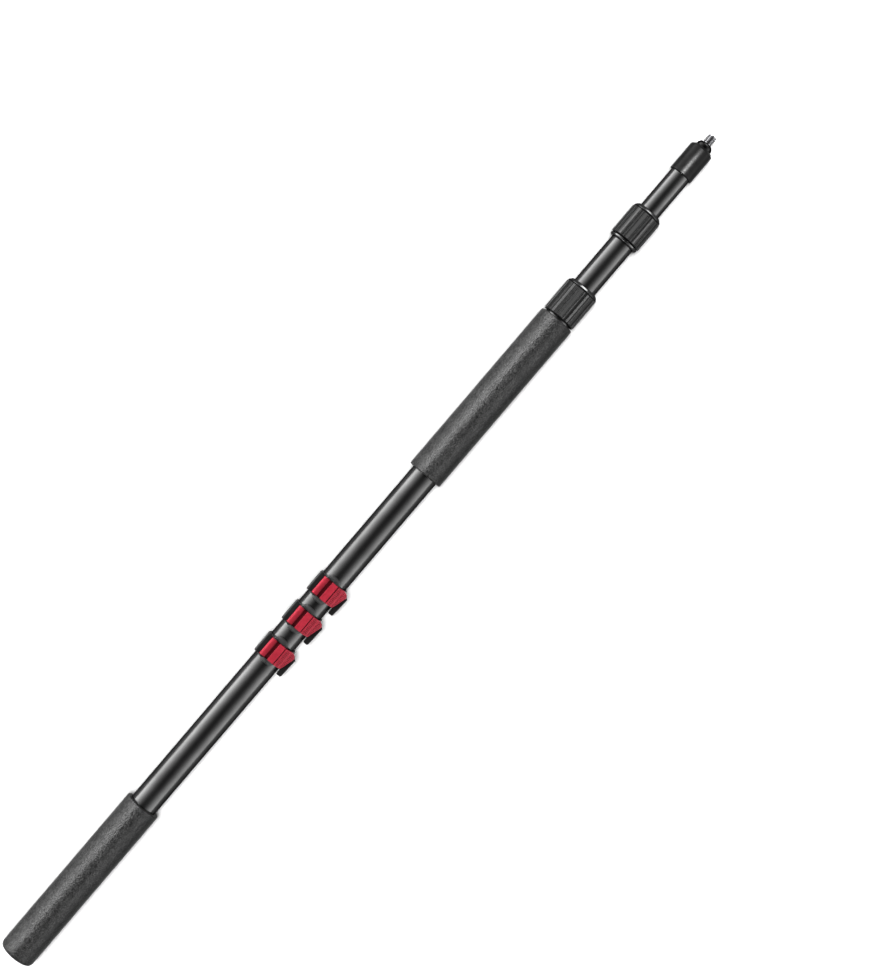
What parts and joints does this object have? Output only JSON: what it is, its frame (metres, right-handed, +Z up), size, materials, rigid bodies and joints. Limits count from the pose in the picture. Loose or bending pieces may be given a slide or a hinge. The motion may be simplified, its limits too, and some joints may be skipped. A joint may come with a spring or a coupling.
{
  "type": "boom pole",
  "caption": "Telescopic microphone boom pole of sliding tubes with twist locks, foam grips, hinged cable clips and a threaded tip.",
  "frame": {"origin": "middle of the base of the whole object's box, on the surface the pole lies on", "axes": "+X along the pole from butt to threaded tip, +Z up through the clips' latches, -Y to the side the clips' finger tails point"},
  "size_m": [1.0274, 0.0394, 0.0426],
  "materials": {
    "anodised_tube": "satin black anodised",
    "grip_foam": "closed-cell foam, fine cell texture",
    "black_plastic": "moulded, low sheen",
    "collar_rubber": "fluted, fine cross ribs",
    "natural_nylon": "natural nylon",
    "bright_alloy": "machined",
    "plated_steel": "bright plated",
    "black_alloy": "gloss black anodised",
    "red_plastic": "semi-gloss moulded",
    "pad_rubber": "smooth"
  },
  "bodies": {
    "outer_section": {"outer_tube": "anodised_tube", "tube_end_plug": "black_plastic", "butt_grip": "grip_foam", "front_grip": "grip_foam", "lower_lock_ferrule": "bright_alloy", "lower_collet": "natural_nylon"},
    "lower_washer": {"lower_thrust_washer": "plated_steel"},
    "lower_collar": {"lower_collar_core": "black_plastic", "lower_collar_grip": "collar_rubber", "lower_collar_bezel": "black_alloy"},
    "middle_section": {"middle_tube": "anodised_tube", "middle_guide_bush": "natural_nylon", "middle_stop_ring": "black_alloy", "upper_lock_ferrule": "bright_alloy", "upper_collet": "natural_nylon"},
    "upper_washer": {"upper_thrust_washer": "plated_steel"},
    "upper_collar": {"upper_collar_core": "black_plastic", "upper_collar_grip": "collar_rubber", "upper_collar_bezel": "black_alloy"},
    "inner_section": {"inner_tube": "anodised_tube", "inner_guide_bush": "natural_nylon", "tip_insert": "black_alloy", "tip_sleeve": "black_plastic", "thread_stud": "plated_steel"},
    "clip_1": {"clip_1_band": "black_plastic", "clip_1_pad": "pad_rubber", "clip_1_pin": "plated_steel"},
    "clip_1_latch": {"clip_1_latch": "red_plastic"},
    "clip_2": {"clip_2_band": "black_plastic", "clip_2_pad": "pad_rubber", "clip_2_pin": "plated_steel"},
    "clip_2_latch": {"clip_2_latch": "red_plastic"},
    "clip_3": {"clip_3_band": "black_plastic", "clip_3_pad": "pad_rubber", "clip_3_pin": "plated_steel"},
    "clip_3_latch": {"clip_3_latch": "red_plastic"}
  },
  "joints": [
    {"name": "middle_slide", "type": "slide", "parent": "outer_section", "child": "middle_section", "axis": [1, 0, 0], "range_m": [-0.053, 0.68]},
    {"name": "inner_slide", "type": "slide", "parent": "middle_section", "child": "inner_section", "axis": [1, 0, 0], "range_m": [-0.044, 0.72]},
    {"name": "lower_collar_travel", "type": "slide", "parent": "outer_section", "child": "lower_washer", "axis": [1, 0, 0], "range_m": [0, 0.0015]},
    {"name": "lower_collar_turn", "type": "hinge", "parent": "lower_washer", "child": "lower_collar", "pos_m": [0.30635, 0.00157, 0.01816], "axis": [1, 0, 0], "range_deg": [0, 270]},
    {"name": "upper_collar_travel", "type": "slide", "parent": "middle_section", "child": "upper_washer", "axis": [1, 0, 0], "range_m": [0, 0.0015]},
    {"name": "upper_collar_turn", "type": "hinge", "parent": "upper_washer", "child": "upper_collar", "pos_m": [0.40135, 0.00157, 0.01816], "axis": [1, 0, 0], "range_deg": [0, 270]},
    {"name": "clip_1_slide", "type": "slide", "parent": "outer_section", "child": "clip_1", "axis": [1, 0, 0], "range_m": [-0.17, 0]},
    {"name": "clip_1_latch_hinge", "type": "hinge", "parent": "clip_1", "child": "clip_1_latch", "pos_m": [-0.13055, 0.00857, 0.03976], "axis": [-1, 0, 0], "range_deg": [0, 120]},
    {"name": "clip_2_slide", "type": "slide", "parent": "outer_section", "child": "clip_2", "axis": [1, 0, 0], "range_m": [-0.008, 0.005]},
    {"name": "clip_2_latch_hinge", "type": "hinge", "parent": "clip_2", "child": "clip_2_latch", "pos_m": [-0.09085, 0.00857, 0.03976], "axis": [-1, 0, 0], "range_deg": [0, 120]},
    {"name": "clip_3_slide", "type": "slide", "parent": "outer_section", "child": "clip_3", "axis": [1, 0, 0], "range_m": [0, 0.11]},
    {"name": "clip_3_latch_hinge", "type": "hinge", "parent": "clip_3", "child": "clip_3_latch", "pos_m": [-0.05435, 0.00857, 0.03976], "axis": [-1, 0, 0], "range_deg": [0, 120]}
  ],
  "couplings": [
    {"joint": "lower_collar_turn", "follows": "lower_collar_travel", "rad_per_m": 3141},
    {"joint": "upper_collar_turn", "follows": "upper_collar_travel", "rad_per_m": 3141}
  ]
}
